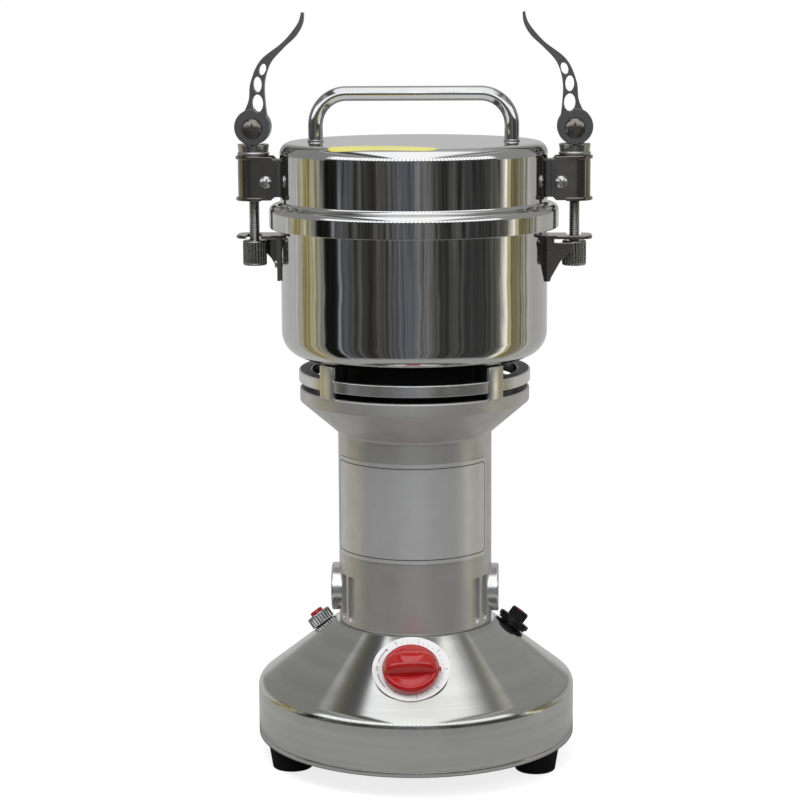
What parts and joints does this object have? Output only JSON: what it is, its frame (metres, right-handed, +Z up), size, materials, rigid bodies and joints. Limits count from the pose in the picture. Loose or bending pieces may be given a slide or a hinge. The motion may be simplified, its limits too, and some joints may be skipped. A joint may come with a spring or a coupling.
{
  "type": "electric grinder",
  "caption": "Upright powder grinder: steel bowl with cutting blades over a motor column on a round base, a lid held by cam levers, a timer knob, reset button and fuse.",
  "frame": {"origin": "on the floor, under the axis of the motor shaft", "axes": "+Z up along the motor shaft, -Y towards the timer knob at the front, +X to the right"},
  "size_m": [0.1602, 0.1469, 0.3398],
  "materials": {
    "polished_steel": "mirror polished stainless steel",
    "spun_steel": "polished spun stainless steel",
    "clamp_steel": "dark polished steel",
    "plated_steel": "zinc plated steel",
    "cast_aluminium": "satin blasted casting",
    "label_foil": "satin silver foil",
    "black_rubber": "matt",
    "silicone": "translucent white silicone",
    "black_plastic": "matt black",
    "red_plastic": "gloss red",
    "white_foil": "white printed foil",
    "core_steel": "varnished laminations",
    "copper": "enamelled copper",
    "brass": "bare",
    "carbon": "carbon",
    "blade_steel": "ground stainless steel"
  },
  "bodies": {
    "base": {"base_cover": "spun_steel", "base_plate": "plated_steel", "foot_left": "black_rubber", "foot_right": "black_rubber", "foot_rear": "black_rubber", "foot_screws": "plated_steel", "housing_screws": "plated_steel", "motor_housing": "cast_aluminium", "rating_plate": "label_foil", "brush_cap_left": "cast_aluminium", "brush_cap_right": "cast_aluminium", "brush_holders": "brass", "carbon_brushes": "carbon", "stator_core": "core_steel", "field_coils": "copper", "lower_end_bell": "cast_aluminium", "upper_end_bell": "black_plastic", "motor_bearings": "blade_steel", "bowl": "polished_steel", "shaft_seal": "black_rubber", "bowl_screws": "plated_steel", "fork_left": "clamp_steel", "fork_right": "clamp_steel", "fork_rivets": "plated_steel", "timer_body": "black_plastic", "dial_plate": "white_foil", "reset_body": "black_plastic", "reset_bezel": "plated_steel", "fuse_holder": "black_plastic", "inlet_grommet": "black_rubber"},
    "rotor": {"rotor_shaft": "blade_steel", "armature_core": "core_steel", "armature_windings": "copper", "commutator": "copper", "cooling_fan": "black_plastic", "lower_blade": "blade_steel", "upper_blade": "blade_steel", "blade_spacers": "blade_steel", "blade_nut": "plated_steel"},
    "lid_ring": {"lid_seal": "silicone"},
    "lid": {"lid": "polished_steel", "lid_handle": "polished_steel", "handle_screws": "plated_steel", "clamp_housing_left": "clamp_steel", "clamp_housing_right": "clamp_steel", "clamp_ears": "clamp_steel", "clamp_screws": "plated_steel", "saddle_left": "clamp_steel", "saddle_right": "clamp_steel"},
    "bolt_left": {"draw_bolt_left": "plated_steel", "barrel_pin_left": "plated_steel"},
    "bolt_right": {"draw_bolt_right": "plated_steel", "barrel_pin_right": "plated_steel"},
    "nut_left": {"thumb_nut_left": "plated_steel"},
    "nut_right": {"thumb_nut_right": "plated_steel"},
    "lever_left": {"cam_lever_left": "clamp_steel"},
    "lever_right": {"cam_lever_right": "clamp_steel"},
    "knob": {"timer_knob": "red_plastic"},
    "reset": {"reset_button": "red_plastic"},
    "fuse": {"fuse_cap": "black_plastic"}
  },
  "joints": [
    {"name": "blade_spin", "type": "hinge", "parent": "base", "child": "rotor", "pos_m": [0, 0, 0.2], "axis": [0, 0, 1], "continuous": true},
    {"name": "lid_turn", "type": "hinge", "parent": "base", "child": "lid_ring", "pos_m": [0, 0, 0.2523], "axis": [0, 0, 1], "range_deg": [0, 360]},
    {"name": "lid_lift", "type": "slide", "parent": "lid_ring", "child": "lid", "axis": [0, 0, 1], "range_m": [0, 0.0462]},
    {"name": "bolt_draw_left", "type": "slide", "parent": "lid", "child": "bolt_left", "axis": [0, 0, 1], "range_m": [0, 0.000945]},
    {"name": "lever_left", "type": "hinge", "parent": "bolt_left", "child": "lever_left", "pos_m": [-0.072, 0, 0.2885], "axis": [0, -1, 0], "range_deg": [0, 125]},
    {"name": "nut_turn_left", "type": "hinge", "parent": "bolt_left", "child": "nut_left", "pos_m": [-0.072, 0, 0.233], "axis": [0, 0, 1], "range_deg": [-180, 180]},
    {"name": "bolt_draw_right", "type": "slide", "parent": "lid", "child": "bolt_right", "axis": [0, 0, 1], "range_m": [0, 0.000945]},
    {"name": "lever_right", "type": "hinge", "parent": "bolt_right", "child": "lever_right", "pos_m": [0.072, 0, 0.2885], "axis": [0, 1, 0], "range_deg": [0, 125]},
    {"name": "nut_turn_right", "type": "hinge", "parent": "bolt_right", "child": "nut_right", "pos_m": [0.072, 0, 0.233], "axis": [0, 0, 1], "range_deg": [-180, 180]},
    {"name": "timer_turn", "type": "hinge", "parent": "base", "child": "knob", "pos_m": [0, -0.052, 0.0514], "axis": [0, -0.6154, 0.7882], "range_deg": [-270, 45]},
    {"name": "reset_press", "type": "slide", "parent": "base", "child": "reset", "axis": [0.5945, -0.1593, -0.7882], "range_m": [0, 0.002], "stiffness_N_per_m": 400, "springref_m": -0.002},
    {"name": "fuse_turn", "type": "hinge", "parent": "base", "child": "fuse", "pos_m": [0.04395, 0.01178, 0.05647], "axis": [0.5945, 0.1593, 0.7882], "range_deg": [0, 90]}
  ],
  "couplings": [
    {"joint": "lid_lift", "follows": "lid_turn", "m_per_rad": 0.0073211},
    {"joint": "bolt_draw_left", "follows": "lever_left", "m_per_rad": 0.00043086},
    {"joint": "bolt_draw_right", "follows": "lever_right", "m_per_rad": 0.00043086}
  ]
}
